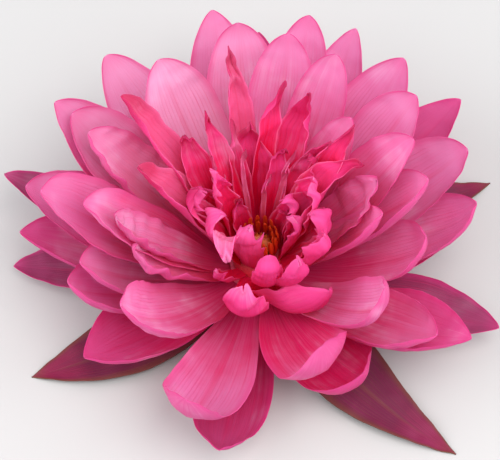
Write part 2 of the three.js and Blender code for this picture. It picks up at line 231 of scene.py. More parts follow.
class BladeSignals:
    """The mesh's marks and the noises that a blade's colour and relief are worked out from."""

    def __init__(self, g: Graph) -> None:
        """Adds the marks and the noises to a graph."""
        self.along, self.across = g.attribute("along"), g.attribute("across")
        self.shade, self.outside = g.attribute("shade"), g.attribute("outside")
        self.flush, self.dusk, self.pale = g.attribute("flush"), g.attribute("dusk"), g.attribute("pale")
        self.edge = abs(self.across)
        streaks = g.vector(self.across * 7.0 + self.shade * 53.0, self.along * 1.1, self.shade * 31.0)
        threads = g.vector(self.across * 30.0 + self.shade * 17.0, self.along * 3.0, self.shade * 7.0)
        self.streak = g.noise(streaks, 1.0, 3.0, 0.62)
        self.fine = g.noise(threads, 1.0, 2.0)
        self.cloud = g.noise(g.place(), 90.0, 2.0)
        self.blotch = g.noise(g.place(), 45.0, 3.0, 0.6)
        self.pore = g.noise(g.place(), 1600.0, 2.0)


@dataclass(frozen=True)
class PetalFinish:
    """Living blade tissue: coloured along and across each blade, with veins, and light coming through."""

    name: str
    base: Colour  # the colour at the root, and of the veins; deep partly as the tissue's own colour and partly as painted shade deep in the flower
    body: Colour  # the colour of the middle
    tip: Colour  # the colour towards the tip
    margin: Colour  # the colour along the edges: on the pink petals a deeper rim, partly painted shade where the edges are seen edge-on; on the rose petals a paler rim, partly painted highlight
    back: Colour  # the colour of the outer face
    flush_from: float = 0.05  # share of the length where the root's colour starts to give way
    flush_to: float = 0.55  # share of the length where it has gone
    margin_from: float = 0.72  # share of the half width where the margin starts
    margin_share: float = 0.55  # how strong the margin is
    back_share: float = 0.3  # how strong the outer face's colour is
    veins: float = 11.0  # how many veins lie on each half
    vein_share: float = 0.3  # how strong they are
    translucency: float = 0.5  # the share of the light that comes through
    roughness: float = 0.42  # how dull the skin is
    sheen: float = 0.05  # how velvety it is
    gloss: float = 0.28  # how strongly it reflects
    pale: Colour = (0.97, 0.62, 0.83)  # the colour of the pale patches, partly painted sheen, and of blades made paler, mostly painted light and highlight
    pale_share: float = 0.5  # how strong the pale patches are; partly painted sheen
    painted_shade_colour: Colour = (0.22, 0.022, 0.07)  # the colour of painted shade, for blades that lie in shade
    scorch: float = 0.0  # how strong the withered colour at the tip is
    scorched: Colour = (0.58, 0.003, 0.065)  # the withered colour

    def _veins(self, b: BladeSignals) -> tuple[Signal, Signal]:
        """Masks of the veins, which fade before the edge and the tip, and of the midrib."""
        line = abs((b.across * (self.veins * np.pi) + (b.fine - 0.5) * 2.4 + b.shade * 9.0).sine())
        vein = line.step(0.42, 0.0) * (1.0 - b.edge.step(0.75, 1.0)) * (1.0 - b.along.step(0.7, 1.0))
        rib = b.edge.step(0.12, 0.0) * (1.0 - b.along.step(0.6, 1.0))
        return vein, rib

    def _colour(self, g: Graph, b: BladeSignals, vein: Signal, rib: Signal) -> Signal:
        """The colour over a blade.

        Args:
            g: The graph.
            b: The blade's marks and noises.
            vein: Mask of the veins.
            rib: Mask of the midrib.

        Returns:
            The colour, from the root to the tip, then the pale patches, the painted highlight and painted
            shade of whole blades, the veins, the margins, which hold painted light too, and the outer face.
        """
        # the deep root colour gives way along the blade; it is partly the tissue's own and partly painted
        # shade, and its further reach on the front petals is painted shade
        reach = b.along - b.flush + (b.streak - 0.5) * 0.45 + (b.shade - 0.5) * 0.16
        reach = reach + (b.cloud - 0.5) * 0.25 + (b.blotch - 0.5) * 0.3
        colour = g.blend(reach.step(self.flush_from, self.flush_to), self.base, self.body)
        colour = g.blend(reach.step(0.62, 1.02) * 0.75, colour, self.tip)

        # pale patches, partly the tissue's mottling and partly painted sheen; whole blades made paler carry
        # painted light and highlight
        pale_and_sheen_patch = (b.blotch + (b.streak - 0.5) * 0.3).step(0.52, 0.75) * reach.step(0.1, 0.5)
        colour = g.blend(pale_and_sheen_patch * self.pale_share + b.pale * b.along.step(0.1, 0.6), colour, self.pale)
        # painted shade: blades that lie in shade are darkened towards a deep colour
        colour = g.blend(b.dusk, colour, self.painted_shade_colour)

        mark = (vein * 0.75 + rib * (0.4 + b.shade)) * self.vein_share
        colour = g.blend(mark * (0.55 + b.streak), colour, self.base)

        # the rim and the tip's point: on the pink petals partly a painted shade along edges seen edge-on, on
        # the rose petals partly a painted highlight
        rim = (b.edge + (b.fine - 0.5) * 0.16).step(self.margin_from, 1.0) * b.along.step(0.2, 0.55)
        point = (b.along + (b.fine - 0.5) * 0.06).step(0.9, 1.0) * 0.7
        colour = g.blend((rim + point) * self.margin_share, colour, self.margin)

        colour = g.blend(b.outside * self.back_share * (1.0 - pale_and_sheen_patch * 0.6), colour, self.back)
        withered = (b.along + (b.fine - 0.5) * 0.12).step(0.78, 0.97) * self.scorch
        colour = g.blend(withered, colour, self.scorched)
        return g.blend((b.fine - 0.5).step(-0.25, 0.25) * 0.14, colour, self.tip)

    def material(self) -> bpy.types.Material:
        """The finish as a material."""
        g = Graph(self.name)
        b = BladeSignals(g)
        vein, rib = self._veins(b)
        relief = vein * -0.6 + rib * -1.0 + b.fine * 0.6 + b.blotch * 1.2 + b.pore * 0.22
        skin = {
            "Base Color": self._colour(g, b, vein, rib),
            "Roughness": self.roughness + (b.fine - 0.5) * 0.22 + b.cloud * 0.06,
            "Normal": g.bump(relief, 0.6, 0.00024),
            "Specular IOR Level": self.gloss,
            "Sheen Weight": self.sheen,
            "Sheen Roughness": 0.45,
        }
        return g.finish_living(skin, self.translucency)


@dataclass(frozen=True)
class GrainFinish:
    """Plain tissue in two colours that mottle, with a fine grain."""

    name: str
    low: Colour  # the colour of the hollows
    high: Colour  # the colour of the rises
    scale: float = 300.0  # how small the mottles are
    roughness: float = 0.6  # how dull the tissue is
    relief: float = 0.0002  # how deep the grain is, in metres

    def material(self) -> bpy.types.Material:
        """The finish as a material."""
        g = Graph(self.name)
        mottle = g.noise(g.place(), self.scale, 3.0, 0.6)
        grain = g.noise(g.place(), self.scale * 6.0, 2.0)
        colour = g.blend((mottle + (grain - 0.5) * 0.5).step(0.35, 0.65), self.low, self.high)
        normal = g.bump(mottle * 0.6 + grain * 0.4, 0.6, self.relief)
        rough = self.roughness + (grain - 0.5) * 0.2
        return g.finish_solid({"Base Color": colour, "Roughness": rough, "Normal": normal})


@dataclass(frozen=True)
class AntherFinish:
    """A stamen: deep red at its foot, red along its thread and orange at its anther."""

    name: str
    foot: Colour  # the colour at the foot
    thread: Colour  # the colour along the thread, and of the anther's groove
    anther: Colour  # the colour of the anther
    roughness: float = 0.55  # how dull the stamen is
    translucency: float = 0.3  # the share of the light that comes through

    def material(self) -> bpy.types.Material:
        """The finish as a material."""
        g = Graph(self.name)
        along, across = g.attribute("along"), g.attribute("across")
        grain = g.noise(g.place(), 2200.0, 2.0)
        reach = along + (grain - 0.5) * 0.2 + (g.attribute("shade") - 0.5) * 0.2
        colour = g.blend(reach.step(0.0, 0.4), self.foot, self.thread)
        colour = g.blend(reach.step(0.45, 0.8), colour, self.anther)
        groove = abs(across).step(0.25, 0.0) * along.step(0.45, 0.6)
        colour = g.blend(groove * 0.5, colour, self.thread)
        normal = g.bump(grain - groove * 0.8, 0.5, 0.0002)
        rough = self.roughness + (grain - 0.5) * 0.2
        skin = {"Base Color": colour, "Roughness": rough, "Normal": normal}
        return g.finish_living(skin, self.translucency)


@dataclass(frozen=True)
class StudioFinish:
    """The plain pale floor."""

    name: str
    colour: Colour

    def material(self) -> bpy.types.Material:
        """The finish as a material."""
        g = Graph(self.name)
        cloud = g.noise(g.place(), 3.0, 2.0)
        shade = tuple(0.96 * channel for channel in self.colour)
        return g.finish_solid({"Base Color": g.blend(cloud, shade, self.colour), "Roughness": 0.85})


# ---- Blades ----------------------------------------------------------------------------------------


@dataclass(frozen=True)
class Seat:
    """Where blades grow: flat ones low and far out, upright ones high and near the axis."""

    radius: float  # how far from the axis a flat blade grows
    height: float  # how high it grows
    inward: float = 0.0  # how much nearer to the axis an upright blade grows
    upward: float = 0.0  # how much higher it grows

    def root(self, lean: float) -> tuple[float, float]:
        """Radius and height of the root of a blade of that lean."""
        share = min(max(lean / UPRIGHT, 0.0), 1.0)
        return self.radius - self.inward * share, self.height + self.upward * share


PETAL_SEAT = Seat(13.0, 5.8, 6.5, 10.0)
INNER_SEAT = Seat(10.5, 11.5, 4.4, 6.0)
SEPAL_SEAT = Seat(11.6, 4.2)
ROLLED_SEAT = Seat(7.8, 14.5)


@dataclass(frozen=True)
class Skin:
    """How finely a blade is built, how thick it is, and how it departs from a plain blade."""

    rows: int = 46  # how many rows it has along its length
    half_columns: int = 9  # how many columns it has on each half
    middle: float = 0.85  # its thickness along the midrib
    edge: float = 0.26  # its thickness at the edge
    ripple: float = 0.55  # how high its edges ripple
    groove: float = 0.35  # how deep the groove along its midrib is
    waver: float = 0.03  # how far its outline wavers, as a share of its width
    folds: int = 7  # how many sets of folds cross each other
    fold_length: tuple[float, float] = (5.0, 13.0)  # the least and the most that lies from fold to fold


@dataclass(frozen=True)
class Blade:
    """One petal, sepal or stamen, with the values of its solid in the frame and what is only on its skin."""

    azimuth: float  # the way it grows, round the axis from +X
    lean: float  # how far it rises from the level
    length: float
    width: float  # its full width
    bend: float = 30.0  # how far it bends up along its length
    cup: float = 34.0  # how far its sides rise
    widest: float = 0.6  # share of its length where it is widest
    claw: float = 0.26  # its width at the root, as a share of the full width
    shoulder: float = 2.0  # how long it stays broad towards the tip
    taper: float = 0.75  # how blunt its tip is; less is blunter
    hood: float = 25.0  # how far its sides close on the tip
    hook: float = 0.0  # how far its end turns up
    hook_at: float = 0.72  # share of its length where that starts
    yaw: float = 0.0  # how far it swings aside along its length
    roll: float = 0.0  # how far it turns about its midrib
    left: float = 0.0  # how far its left edge curls in
    right: float = 0.0  # how far its right edge curls in
    crumple: float = 0.3  # how high its folds are
    ragged: float = 0.0  # how far its end is withered back
    flush: float = 0.0  # how much further the root's colour reaches, as a share of its length; on the front petals this is painted shade
    dusk: float = 0.0  # how much painted shade darkens it, from 0 to 1
    pale: float = 0.0  # how much paler it is, from 0 to 1: painted light on lit petals at the back, painted highlight on lips, knobs and thin threads, own colour on the tall upright petals
    wilt: float = 0.0  # how far its tip has bent aside
    pinch: float = 0.0  # how much its end has narrowed, from 0 to 1
    seat: Seat = PETAL_SEAT  # where it grows

    def width_share(self, s: np.ndarray) -> np.ndarray:
        """Share of the full width at shares s of the length."""
        rise = np.sin(np.pi / 2 * np.minimum(s / self.widest, 1.0)) ** 1.2
        fall = np.clip((s - self.widest) / (1.0 - self.widest), 0.0, 1.0)
        return np.where(
            s < self.widest,
            self.claw + (1.0 - self.claw) * rise,
            (1.0 - fall**self.shoulder) ** self.taper,
        )

    def midrib(self, s: np.ndarray) -> tuple[np.ndarray, np.ndarray, np.ndarray]:
        """Frames along the midrib.

        Args:
            s: Shares of the length, from 0 up.

        Returns:
            The points, the ways across and the ways up from the face, a row each.
        """
        fine = np.linspace(0.0, TIP_SHARE, 600)
        steps = np.diff(fine)[:, None] * self.length
        middle = self.along((fine[1:] + fine[:-1]) / 2)
        radius, height = self.seat.root(self.lean)
        start = np.radians(self.azimuth)
        root = np.array([radius * np.cos(start), radius * np.sin(start), height])
        path = np.vstack([root, root + np.cumsum(middle * steps, axis=0)])
        points = np.stack([np.interp(s, fine, path[:, k]) for k in range(3)], axis=1)
        along = self.along(s)
        heading = np.radians(self.azimuth + self.yaw * s**1.5)
        flat = np.stack([-np.sin(heading), np.cos(heading), np.zeros_like(s)], axis=1)
        turn = np.radians(self.roll * s)[:, None]
        across = flat * np.cos(turn) + np.cross(along, flat) * np.sin(turn)
        return points, across, np.cross(along, across)

    def along(self, s: np.ndarray) -> np.ndarray:
        """The ways along the midrib at shares s of the length."""
        hooked = np.clip((s - self.hook_at) / (1.0 - self.hook_at), 0.0, 1.0) ** 1.5
        lean = np.radians(self.lean + self.bend * (s - LEAN_SHARE) + self.hook * hooked)
        heading = np.radians(self.azimuth + self.yaw * s**1.5)
        level = np.cos(lean)
        return np.stack([level * np.cos(heading), level * np.sin(heading), np.sin(lean)], axis=1)

    def half_section(self, s: np.ndarray, u: np.ndarray, curl: float) -> tuple[np.ndarray, np.ndarray]:
        """One half of the cross-sections.

        Args:
            s: Shares of the length, one a row.
            u: Shares of the half width, one a column.
            curl: How far this edge curls up, in degrees.

        Returns:
            How far out and how far up from the midrib each point lies, as shares of the half width.
        """
        fine = np.linspace(0.0, 1.0, 61)
        middle = (fine[1:] + fine[:-1]) / 2
        opened = np.minimum(1.0, s / OPEN_BY)[:, None]
        curled = np.clip((s - CURL_FROM) / (CURL_BY - CURL_FROM), 0.0, 1.0)[:, None]
        edge = np.clip((middle - 0.5) / 0.5, 0.0, 1.0) ** 1.3
        closed = np.clip((s - HOOD_FROM) / (1.0 - HOOD_FROM), 0.0, 1.0)[:, None]
        slope = np.radians((self.cup * opened + self.hood * closed) * middle + curl * edge * curled)
        zero = np.zeros((len(s), 1))
        out = np.hstack([zero, np.cumsum(np.cos(slope), axis=1)]) / len(middle)
        up = np.hstack([zero, np.cumsum(np.sin(slope), axis=1)]) / len(middle)
        return (
            np.stack([np.interp(u, fine, row) for row in out]),
            np.stack([np.interp(u, fine, row) for row in up]),
        )


class Tissue:
    """Gathers blades and turned forms into one mesh."""

    def __init__(self) -> None:
        """Starts with nothing."""
        self.points: list[np.ndarray] = []
        self.faces: list[np.ndarray] = []
        self.marks: dict[str, list[np.ndarray]] = {
            name: [] for name in ("along", "across", "shade", "outside", "flush", "dusk", "pale")
        }
        self.count = 0

    def gather(self, points: np.ndarray, faces: np.ndarray, **marks: np.ndarray | float) -> None:
        """Adds one closed form.

        Args:
            points: Its points in millimetres.
            faces: Its faces of four corners.
            marks: What each point has of each mark.
        """
        self.points.append(points)
        self.faces.append(faces + self.count)
        for name, values in self.marks.items():
            values.append(np.broadcast_to(marks.get(name, 0.0), len(points)).astype(np.float32))
        self.count += len(points)

    def blade(self, blade: Blade, skin: Skin, random: np.random.Generator) -> None:
        """Adds one blade with thin margins, ripples and a groove along its midrib.

        Args:
            blade: The blade's shape.
            skin: How it is built.
            random: Where its own small departures come from.
        """
        t = np.linspace(0.0, 1.0, skin.rows + 1)
        s = (1.0 - (1.0 - t) ** TIP_CROWDING) * TIP_SHARE
        u = np.sin(np.pi / 2 * np.linspace(0.0, 1.0, skin.half_columns + 1))
        points, across, up = blade.midrib(s)
        half = blade.width / 2 * (blade.width_share(s) * (1.0 - blade.pinch * ramp(s, *PINCHED)))[:, None]
        sides = []
        for side, curl in ((-1.0, blade.left), (1.0, blade.right)):
            out, rise = blade.half_section(s, u, curl)
            waver, ripple, groove = self.relief(s, u, half, min(1.0, blade.width / BROAD), skin, random)
            reach = (side * half * out * waver)[:, :, None]
            lift = (half * rise + ripple + groove)[:, :, None]
            sides.append(points[:, None, :] + across[:, None, :] * reach + up[:, None, :] * lift)
        surface = np.concatenate([sides[0][:, :0:-1], sides[1]], axis=1)
        signed = np.concatenate([-u[:0:-1], u])

        aside = (blade.wilt * ramp(s, *WILTED) ** 1.5)[:, None, None]
        surface = surface + across[:, None, :] * aside + up[:, None, :] * np.abs(aside) * 0.5
        folds = self.folds(s, signed[None, :] * half, blade.length, skin, random)
        free = ramp(s, 0.25, 0.9)[:, None] * (0.3 + 0.7 * np.abs(signed[None, :]))
        surface = surface + up[:, None, :] * (blade.crumple * folds * free)[:, :, None]
        bitten = 0.5 + 0.5 * np.sin(signed * random.uniform(3.0, 6.0) + random.uniform(0.0, 2.0 * np.pi))
        short = blade.ragged * ramp(s, *RAGGED)[:, None] * bitten[None, :]
        surface = surface - blade.along(s)[:, None, :] * short[:, :, None]

        thickness = skin.edge + (skin.middle - skin.edge) * (1.0 - signed[None, :] ** 2) ** 0.8
        thickness = thickness * (1.0 - END_THINNING * ramp(s, 0.3, 1.0))[:, None]
        own = {"flush": blade.flush, "dusk": blade.dusk, "pale": blade.pale}
        self.sheet(surface, thickness, s, signed, {"shade": random.uniform(0.0, 1.0), **own})

    @staticmethod
    def relief(
        s: np.ndarray, u: np.ndarray, half: np.ndarray, small: float, skin: Skin, random: np.random.Generator
    ) -> tuple[np.ndarray, np.ndarray, np.ndarray]:
        """The wavering outline, the rippled edge and the grooved midrib of one half of a blade.

        Args:
            s: Shares of the length, one a row.
            u: Shares of the half width, one a column.
            half: The half width at each row, in millimetres.
            small: How much of the relief a blade of this width has.
            skin: How strong each of them is.
            random: Where the waves start and how long they are.

        Returns:
            What the reach is multiplied by, and the heights of the ripples and of the groove.
        """
        phase, pace = random.uniform(0.0, 2.0 * np.pi), random.uniform(1.6, 2.8)
        wave = np.sin(2.0 * np.pi * pace * s + phase)[:, None]
        fading = (ramp(s, 0.15, 0.5) * (1.0 - ramp(s, 0.86, 1.0)))[:, None]
        ripple = skin.ripple * small * wave * fading * u[None, :] ** 3
        groove = -skin.groove * small * np.exp(-((u[None, :] * half / (GROOVE_WIDTH * small)) ** 2))
        groove = groove * (1.0 - ramp(s, 0.75, 1.0))[:, None] * ramp(s, 0.0, 0.2)[:, None]
        waver = 1.0 + skin.waver * np.sin(2.0 * np.pi * 1.3 * s + phase * 1.7)[:, None] * fading
        return waver, ripple, groove

    @staticmethod
    def folds(
        s: np.ndarray, aside: np.ndarray, length: float, skin: Skin, random: np.random.Generator
    ) -> np.ndarray:
        """Creases that cross each other, as in tissue that has been crumpled.

        Args:
            s: Shares of the length, one a row.
            aside: How far each point lies from the midrib, in millimetres.
            length: The blade's length.
            skin: How many folds there are and how far apart.
            random: Where their places come from.

        Returns:
            Heights from about -1 to 1.
        """
        total = np.zeros_like(aside)
        for _ in range(skin.folds):
            pace = 2.0 * np.pi / random.uniform(*skin.fold_length)
            turn, phase = random.uniform(-1.2, 1.2), random.uniform(0.0, 2.0 * np.pi)
            wave = (s[:, None] * length * np.cos(turn) + aside * np.sin(turn)) * pace + phase
            total += 1.2 - 2.0 * np.abs(np.sin(wave / 2.0))
        return total / np.sqrt(skin.folds)

    def sheet(
        self,
        surface: np.ndarray,
        thickness: np.ndarray,
        s: np.ndarray,
        signed: np.ndarray,
        own: dict[str, float],
    ) -> None:
        """Adds a surface of points as a closed form of a given thickness.

        Args:
            surface: Rows of points.
            thickness: The thickness at each point.
            s: Share of the length, one a row.
            signed: Share of the half width, one a column, from -1 to 1.
            own: The marks that all points of this form share.
        """
        rows, columns = surface.shape[0] - 1, surface.shape[1] - 1
        normal = np.cross(np.gradient(surface, axis=0), np.gradient(surface, axis=1))
        normal /= np.maximum(np.linalg.norm(normal, axis=2, keepdims=True), 1e-9)
        offset = normal * thickness[:, :, None] / 2
        points = np.concatenate([(surface + offset).reshape(-1, 3), (surface - offset).reshape(-1, 3)])
        under = (rows + 1) * (columns + 1)
        number = np.arange(under).reshape(rows + 1, columns + 1)
        a, b = number[:-1, :-1].ravel(), number[1:, :-1].ravel()
        c, d = number[1:, 1:].ravel(), number[:-1, 1:].ravel()
        top = np.stack([a, b, c, d], axis=1)
        bottom = np.stack([a, d, c, b], axis=1) + under
        loop = np.concatenate([number[:-1, 0], number[-1, :-1], number[:0:-1, -1], number[0, :0:-1]])
        onward = np.roll(loop, -1)
        rim = np.stack([loop, loop + under, onward + under, onward], axis=1)
        along = np.repeat(s, columns + 1)
        side = np.tile(signed, rows + 1)
        self.gather(
            points,
            np.concatenate([top, bottom, rim]),
            along=np.tile(along, 2),
            across=np.tile(side, 2),
            outside=np.repeat([0.0, 1.0], under),
            **own,
        )

    def turned(self, outline: Outline, sides: int = 96, wobble: float = 0.0) -> None:
        """Adds a form turned round the axis.

        Args:
            outline: The points of its section, with the axis on their left.
            sides: How many sides the form has.
            wobble: How far its radius varies round the axis.
        """
        profile = np.array(outline)
        angle = 2.0 * np.pi * np.arange(sides) / sides
        vary = 1.0 + wobble * (np.sin(7 * angle) + 0.6 * np.sin(12 * angle + 1.0))
        radius = profile[:, :1] * vary[None, :]
        height = np.broadcast_to(profile[:, 1:], radius.shape)
        points = np.stack([radius * np.cos(angle), radius * np.sin(angle), height], axis=2)
        number = np.arange(radius.size).reshape(radius.shape)
        after = np.roll(number, -1, axis=0)
        faces = np.stack([number, np.roll(number, -1, axis=1), np.roll(after, -1, axis=1), after], axis=2)
        heights = profile[:, 1]
        along = np.interp(heights, (heights.min(), heights.max()), (0.0, 1.0))
        self.gather(points.reshape(-1, 3), faces.reshape(-1, 4), along=np.repeat(along, sides))

    def piece(self, name: str, material: bpy.types.Material, node: str, slot: str) -> bpy.types.Object:
        """Makes the gathered forms a piece of the flower.

        Args:
            name: The piece's name.
            material: Its material.
            node: The frame's node that it stands for.
            slot: The material slot that the piece stands for; not used.

        Returns:
            The piece.
        """
        mesh = bpy.data.meshes.new(name)
        points = np.concatenate(self.points) * MM
        faces = np.concatenate(self.faces)
        mesh.from_pydata(points.tolist(), [], faces.tolist())
        for mark, values in self.marks.items():
            layer = mesh.attributes.new(mark, "FLOAT", "POINT")
            layer.data.foreach_set("value", np.concatenate(values))
        mesh.validate()
        mesh.shade_smooth()
        mesh.materials.append(material)
        made = bpy.data.objects.new(name, mesh)
        bpy.context.scene.collection.objects.link(made)
        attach(made, "root")
        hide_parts(node)
        log.info("%s: %d points, %d faces", name, len(points), len(faces))
        return made


# ---- The flower's sub-assemblies -------------------------------------------------------------------

Row = tuple[Any, ...]  # azimuth, lean, length and width of a blade, and a dict of what differs from its layer
Form = dict[str, Any]  # what the blades of a layer share


def shared(**values: Any) -> Any:
    """A field that holds what the blades of a layer share."""
    return field(default_factory=lambda: dict(values))


def blades(rows: tuple[Row, ...], form: Form) -> list[Blade]:
    """The blades of a layer.

    Args:
        rows: Each blade's azimuth, lean, length and width, and what is its own.
        form: What they share.

    Returns:
        The blades, in the order of the rows.
    """
    return [Blade(*row[:4], **{**form, **(row[4] if len(row) > 4 else {})}) for row in rows]


class Layer(Enum):
    """The layers of blades, from the outside in."""

    SEPALS = "sepals_drooped"
    GUARD = "guard_petals"
    OUTER = "outer_petals"
    MIDDLE = "middle_petals"
    UPPER = "upper_petals"
    ROSE = "rose_petals_upright"
    CURLED = "rose_petals_curled"
    ROLLED = "rose_petals_rolled"


@dataclass
class Whorl:
    """One layer of blades, which share a form, a skin and a finish."""

    layer: Layer
    rows: tuple[Row, ...]
    form: Form
    finish: PetalFinish
    node: str
    slot: str
    skin: Skin = field(default_factory=Skin)
    seed: int = 1

    def build(self) -> bpy.types.Object:
        """Builds the layer as a piece."""
        random = np.random.default_rng(self.seed)
        tissue = Tissue()
        for blade in blades(self.rows, self.form):
            tissue.blade(blade, self.skin, random)
        return tissue.piece(self.layer.value, self.finish.material(), self.node, self.slot)


@dataclass(frozen=True)
class Collar:
    """A ring of tissue round the seat, which a layer grows from."""

    name: str
    outline: Outline
    wobble: float = 0.006

    def build(self, material: bpy.types.Material, node: str, slot: str) -> bpy.types.Object:
        """Builds the collar as a piece."""
        tissue = Tissue()
        tissue.turned(self.outline, wobble=self.wobble)
        return tissue.piece(self.name, material, node, slot)


class Layered:
    """Layers of blades of one kind, and the collar that they grow from."""

    node: str
    slot: str
    collar: Collar
    collar_finish: GrainFinish

    def whorls(self) -> list[Whorl]:
        """The layers."""
        raise NotImplementedError

    def build(self) -> list[bpy.types.Object]:
        """Builds the layers and their collar."""
        made = [whorl.build() for whorl in self.whorls()]
        return made + [self.collar.build(self.collar_finish.material(), self.node, self.slot)]


@dataclass
class Sepals:
    """Four drooped sepals that rest on the floor, and their collar."""

    rows: tuple[Row, ...] = (
        (214, -3.2, 69, 24, {"yaw": -22, "widest": 0.5}),
        (306, -2.9, 76, 24, {"yaw": 24}),
        (25, -3.0, 73, 24),
        (115, -2.8, 78, 25),
    )
    form: Form = shared(
        bend=-2.0, cup=14.0, widest=0.4, claw=0.42, shoulder=1.5, taper=0.95, seat=SEPAL_SEAT
    )
    finish: PetalFinish = PetalFinish(
        "sepal tissue",
        base=(0.20, 0.07, 0.05),
        body=(0.15, 0.016, 0.055),
        tip=(0.28, 0.010, 0.06),
        margin=(0.16, 0.06, 0.03),
        back=(0.10, 0.07, 0.025),
        pale=(0.30, 0.05, 0.14),
        pale_share=0.35,
        sheen=0.0,
        gloss=0.22,
        flush_from=0.0,
        flush_to=0.6,
        margin_share=0.7,
        back_share=0.85,
        veins=9.0,
        vein_share=0.4,
        translucency=0.2,
        roughness=0.5,
    )
    collar: Collar = Collar("sepal_collar", ((9.6, 2.5), (12.5, 2.6), (12.9, 3.6), (12.8, 5.0), (9.9, 5.05)))
    seed: int = 11

    def build(self) -> list[bpy.types.Object]:
        """Builds the sepals and the collar that they grow from."""
        random = np.random.default_rng(self.seed)
        tissue = Tissue()
        skin = Skin(middle=1.1, edge=0.4, ripple=0.4, groove=0.2)
        for blade in blades(self.rows, self.form):
            tissue.blade(blade, skin, random)
        for points in tissue.points:
            points[:, 2] = np.maximum(points[:, 2], 0.0)  # none of them sinks into the floor
        material = self.finish.material()
        return [
            tissue.piece(Layer.SEPALS.value, material, "sepals", "sepal"),
            self.collar.build(material, "sepals", "sepal"),
        ]


@dataclass
class PinkPetals(Layered):
    """The pale petals in four layers, and the collar that they grow from."""

    node: str = "pink_petals"
    slot: str = "pink_petal"
    guard: tuple[Row, ...] = (
        # the darkening of the low and hidden guard petals is painted shade, and so is the deeper root colour
        # of those at the front
        (161, 6, 76, 19, {"dusk": 0.7}),
        (177, 11, 66, 27, {"right": 40}),
        (216, 9, 57, 28, {"right": 40, "hook": 20, "flush": 0.3, "dusk": 0.1}),
        (260, 2, 61, 27, {"bend": 20, "hook": 50, "hook_at": 0.6, "flush": 0.25, "dusk": 0.45}),
        (298, 9, 56, 29, {"bend": 50, "yaw": 24, "hook": 70, "hook_at": 0.6, "left": 20, "flush": 0.35}),
        (327, 16, 68, 27, {"bend": 40, "yaw": 8, "left": 40}),
        (37, 15, 74, 24, {"dusk": 0.15}),
        (90, 12, 70, 22, {"dusk": 0.4}),
        (343, 2, 66, 22, {"bend": 10, "dusk": 0.7}),
        (180, -2, 66, 20, {"bend": 10, "yaw": -4, "dusk": 0.7}),
        (66, 6, 60, 26),
        (113, 5, 60, 26),
        (140, 13, 60, 26),
        (8, 9, 56, 26),
    )
    guard_form: Form = shared(cup=36.0, hood=20.0)
    outer: tuple[Row, ...] = (
        # the deeper root colour of the front petals and their darkening are painted shade; the paler petals
        # at the back are painted light
        (151, 29, 75, 28, {"taper": 0.62, "pale": 0.25}),
        (171, 22, 70, 29),
        (200, 19, 60, 27, {"bend": 50, "yaw": -4, "right": 50, "hook": 30, "flush": 0.1}),
        (254, 16, 72, 27, {"yaw": -14, "widest": 0.62, "hook": 75, "hook_at": 0.58, "dusk": 0.08}),
        (323, 19, 61, 25, {"yaw": 6, "left": 50, "hook": 20, "flush": 0.2}),
        (5, 19, 67, 27, {"hook": 50, "left": 30, "taper": 0.66}),
        (52, 21, 72, 27, {"taper": 0.66}),
        (67, 17, 75, 21, {"taper": 0.7}),
        (77, 28, 73, 24),
        (101, 20, 76, 26, {"taper": 0.66, "pale": 0.2}),
        (130, 23, 74, 27, {"pale": 0.45}),
    )
    outer_form: Form = shared(bend=35.0, cup=38.0, taper=0.56, hood=16.0)
    middle: tuple[Row, ...] = (
        # the deeper root colour of the front petals is painted shade; the paler petals at the back are
        # painted light
        (152, 32, 69, 27, {"pale": 0.25}),
        (181, 36, 73, 27),
        (199, 28, 57, 24, {"bend": 50, "yaw": -8, "right": 40}),
        (227, 35, 64, 25, {"bend": 66, "yaw": -20, "roll": -14, "right": 60}),
        (289, 25, 60, 28, {"bend": 50, "yaw": 20, "roll": 10, "hook": 80, "hook_at": 0.6, "flush": 0.25}),
        (316, 36, 62, 22, {"bend": 66, "yaw": 22, "roll": 14, "left": 60, "hook": 40}),
        (350, 27, 54, 24, {"yaw": 8, "hook": 60, "left": 30, "flush": 0.2}),
        (20, 25, 67, 27),
        (37, 35, 66, 25),
        (64, 41, 64, 20),
        (81, 37, 66, 23),
        (96, 32, 69, 26, {"pale": 0.25}),
        (123, 38, 65, 27, {"pale": 0.5}),
    )
    middle_form: Form = shared(bend=32.0, cup=40.0, shoulder=2.5, taper=0.5, hood=8.0)
    upper: tuple[Row, ...] = (
        # the paler petals and crumpled lips here carry painted highlight; the deeper root colour of the two
        # petals on the right stands for the reddened light that comes through them in shade
        (158, 40, 64, 23, {"right": 60, "crumple": 0.8, "pale": 0.3}),
        (187, 44, 64, 23),
        (192, 46, 57, 16, {"right": 70, "crumple": 1.5, "ragged": 3, "hook": 30, "pale": 0.1}),
        (205, 43, 51, 16, {"right": 80, "crumple": 1.5, "ragged": 3, "hook": 40, "pale": 0.1}),
        (20, 45, 61, 23),
        (6, 40, 60, 22, {"left": 60, "hook": 20}),
        (44, 50, 51, 17),
        (9, 50, 49, 18, {"crumple": 1.6, "ragged": 2, "hook": 30, "flush": 0.12}),
        (352, 48, 48, 16, {"left": 80, "hook": 20, "flush": 0.15}),
    )
    upper_form: Form = shared(bend=26.0, cup=44.0, claw=0.28, shoulder=2.4, taper=0.52, hood=14.0)
    finish: PetalFinish = PetalFinish(
        "pink petal tissue",
        base=(0.84, 0.010, 0.16),
        body=(0.88, 0.25, 0.55),
        tip=(0.88, 0.38, 0.67),
        # the deep margin is partly painted shade along edges seen edge-on
        margin=(0.80, 0.05, 0.30),
        back=(0.72, 0.065, 0.30),
        flush_to=0.72,
        back_share=0.75,
    )
    collar: Collar = Collar(
        "petal_collar", ((9.75, 5.95), (13.6, 6.0), (13.7, 6.6), (9.5, 12.9), (6.5, 13.05))
    )
    collar_finish: GrainFinish = GrainFinish("petal collar tissue", (0.50, 0.02, 0.07), (0.66, 0.07, 0.16))

